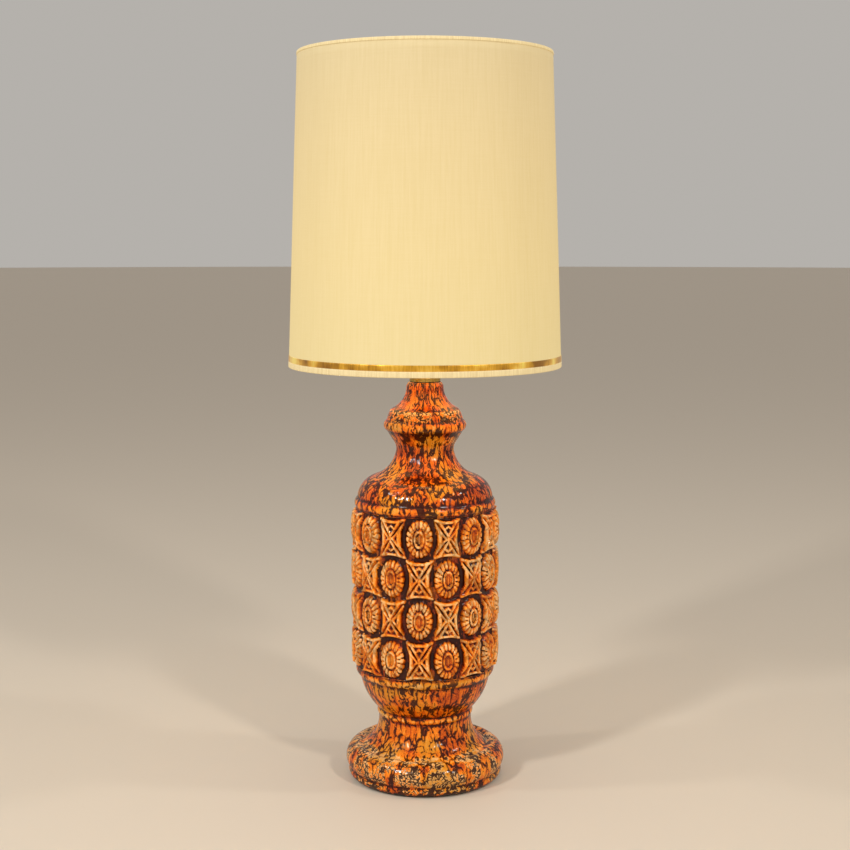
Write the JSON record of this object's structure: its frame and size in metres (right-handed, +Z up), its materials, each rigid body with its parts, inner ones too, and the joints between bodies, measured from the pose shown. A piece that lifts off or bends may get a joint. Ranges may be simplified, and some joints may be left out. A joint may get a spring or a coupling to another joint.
{
  "type": "table lamp",
  "caption": "Tall table lamp: hollow glazed ceramic body with moulded relief, screw lampholder with bar switch, and a tapered fabric drum shade clamped by a threaded ring.",
  "frame": {"origin": "centre of the underside of the felt, on the surface the lamp stands on", "axes": "+Z up along the axis of the lamp, -Y the front, +Y the back with the cord hole, +X to the right seen from the front"},
  "size_m": [0.2987, 0.2986, 0.7975],
  "materials": {
    "glaze": "gloss",
    "felt": "matt",
    "rubber": "matt",
    "steel": "satin",
    "brass": "satin",
    "holder_plastic": "gloss",
    "bar_plastic": "gloss",
    "porcelain": "gloss",
    "fibre": "matt",
    "white_wire": "satin",
    "lining": "satin",
    "fabric": "matt",
    "hem_tape": "matt",
    "gold_ribbon": "satin",
    "bulb_glass": "frosted",
    "cap_metal": "satin",
    "black_glass": "gloss",
    "clear_glass": "gloss",
    "tungsten": "satin"
  },
  "bodies": {
    "base": {"ceramic_body": "glaze", "foot_felt": "felt", "cord_grommet": "rubber", "floor_gasket": "rubber", "clamp_plate": "steel", "lower_nut": "steel", "lamp_tube": "steel", "neck_gasket": "rubber", "neck_cap": "brass", "lock_nut": "brass", "holder_cap": "holder_plastic", "grub_screw": "steel", "switch_body": "holder_plastic", "holder_insert": "porcelain", "terminal_blocks": "brass", "terminal_screws": "steel", "centre_contact": "brass", "screw_shell": "brass", "holder_shell": "holder_plastic"},
    "switch": {"switch_bar": "bar_plastic"},
    "washer": {"fibre_washer": "fibre"},
    "shade": {"shade_fitter": "white_wire", "shade_top_wire": "white_wire", "shade_lining": "lining", "shade_fabric": "fabric", "top_hem": "hem_tape", "bottom_hem": "hem_tape", "gold_band": "gold_ribbon"},
    "slip": {"slip_washer": "fibre"},
    "ring": {"shade_ring": "holder_plastic"},
    "bulb": {"bulb_glass": "bulb_glass", "bulb_cap": "cap_metal", "bulb_insulator": "black_glass", "bulb_contact": "cap_metal", "bulb_stem": "clear_glass", "bulb_filament": "tungsten"}
  },
  "joints": [
    {"name": "switch_push", "type": "slide", "parent": "base", "child": "switch", "axis": [1, 0, 0], "range_m": [0, 0.006]},
    {"name": "shade_lift", "type": "slide", "parent": "base", "child": "washer", "axis": [0, 0, 1], "range_m": [0, 0.06]},
    {"name": "shade_turn", "type": "hinge", "parent": "washer", "child": "shade", "pos_m": [0, 0, 0.4975], "axis": [0, 0, 1], "continuous": true},
    {"name": "ring_rise", "type": "slide", "parent": "washer", "child": "slip", "axis": [0, 0, 1], "range_m": [0, 0.018]},
    {"name": "ring_turn", "type": "hinge", "parent": "slip", "child": "ring", "pos_m": [0, 0, 0.503], "axis": [0, 0, 1], "range_deg": [0, 2520]},
    {"name": "bulb_out", "type": "slide", "parent": "washer", "child": "bulb", "axis": [0, 0, 1], "range_m": [0, 0.31]}
  ],
  "couplings": [
    {"joint": "ring_rise", "follows": "ring_turn", "m_per_rad": 0.00039789}
  ]
}
